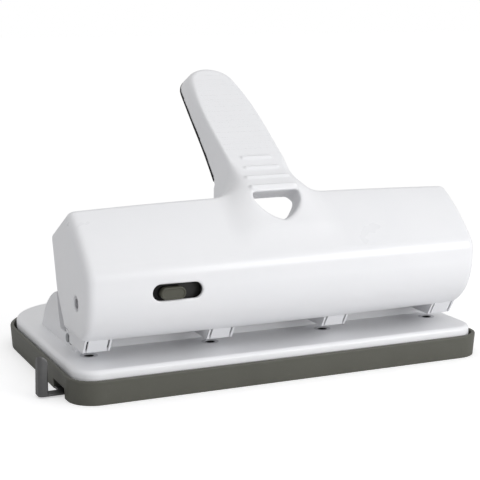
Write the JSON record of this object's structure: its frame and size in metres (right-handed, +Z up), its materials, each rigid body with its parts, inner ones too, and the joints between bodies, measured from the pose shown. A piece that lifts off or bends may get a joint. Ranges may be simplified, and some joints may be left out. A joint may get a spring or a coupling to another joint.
{
  "type": "hole punch",
  "caption": "Wide desk hole punch: a white barrel cover with a centre handle presses a row of punches through paper on a steel plate over a chip tray.",
  "frame": {"origin": "centre of the chip tray's underside, on the desk", "axes": "+X along the width to the right, +Y to the back, +Z up"},
  "size_m": [0.2964, 0.1941, 0.1854],
  "materials": {
    "tray_plastic": "fine moulded satin",
    "white_plate": "glossy white powder coat",
    "white_sheet": "glossy white paint",
    "cover_plastic": "polished white moulding",
    "grip_rubber": "soft matt black",
    "pin_steel": "turned",
    "tool_steel": "ground and oiled",
    "lock_plastic": "satin olive grey",
    "zinc_steel": "zinc plated",
    "guide_steel": "rolled steel",
    "spring_steel": "drawn wire"
  },
  "bodies": {
    "frame": {"chip_tray": "tray_plastic", "base_plate": "white_plate", "chassis": "white_sheet", "rear_housing": "white_sheet", "left_cheek": "white_sheet", "right_cheek": "white_sheet", "left_pivot_pin": "pin_steel", "right_pivot_pin": "pin_steel", "base_screws": "zinc_steel", "cheek_rivets": "zinc_steel", "die_1": "tool_steel", "die_2": "tool_steel", "die_3": "tool_steel", "die_4": "tool_steel", "punch_bracket_1": "white_sheet", "punch_bracket_2": "white_sheet", "punch_bracket_3": "white_sheet", "punch_bracket_4": "white_sheet"},
    "lever": {"lever_cover": "cover_plastic", "handle_grip": "grip_rubber", "press_rod": "tool_steel"},
    "lock": {"lock_button": "lock_plastic", "lock_bolt": "zinc_steel"},
    "guide": {"paper_guide": "guide_steel"},
    "punch_1": {"punch_pin_1": "tool_steel", "punch_clip_1": "spring_steel", "return_spring_1": "spring_steel"},
    "punch_2": {"punch_pin_2": "tool_steel", "punch_clip_2": "spring_steel", "return_spring_2": "spring_steel"},
    "punch_3": {"punch_pin_3": "tool_steel", "punch_clip_3": "spring_steel", "return_spring_3": "spring_steel"},
    "punch_4": {"punch_pin_4": "tool_steel", "punch_clip_4": "spring_steel", "return_spring_4": "spring_steel"}
  },
  "joints": [
    {"name": "lever_hinge", "type": "hinge", "parent": "frame", "child": "lever", "pos_m": [0, -0.072, 0.057], "axis": [-1, 0, 0], "range_deg": [0, 34], "stiffness_Nm_per_rad": 1, "springref_deg": -28.65},
    {"name": "lock_slide", "type": "slide", "parent": "lever", "child": "lock", "axis": [1, 0, 0], "range_m": [0, 0.0095]},
    {"name": "guide_slide", "type": "slide", "parent": "frame", "child": "guide", "axis": [-1, 0, 0], "range_m": [-0.008, 0.1]},
    {"name": "punch_slide_1", "type": "slide", "parent": "frame", "child": "punch_1", "axis": [0, 0, -1], "range_m": [0, 0.0102], "deforming": ["return_spring_1"]},
    {"name": "punch_slide_2", "type": "slide", "parent": "frame", "child": "punch_2", "axis": [0, 0, -1], "range_m": [0, 0.0102], "deforming": ["return_spring_2"]},
    {"name": "punch_slide_3", "type": "slide", "parent": "frame", "child": "punch_3", "axis": [0, 0, -1], "range_m": [0, 0.0102], "deforming": ["return_spring_3"]},
    {"name": "punch_slide_4", "type": "slide", "parent": "frame", "child": "punch_4", "axis": [0, 0, -1], "range_m": [0, 0.0102], "deforming": ["return_spring_4"]}
  ],
  "couplings": [
    {"joint": "punch_slide_1", "follows": "lever_hinge", "m_per_rad": 0.017},
    {"joint": "punch_slide_2", "follows": "lever_hinge", "m_per_rad": 0.017},
    {"joint": "punch_slide_3", "follows": "lever_hinge", "m_per_rad": 0.017},
    {"joint": "punch_slide_4", "follows": "lever_hinge", "m_per_rad": 0.017}
  ]
}
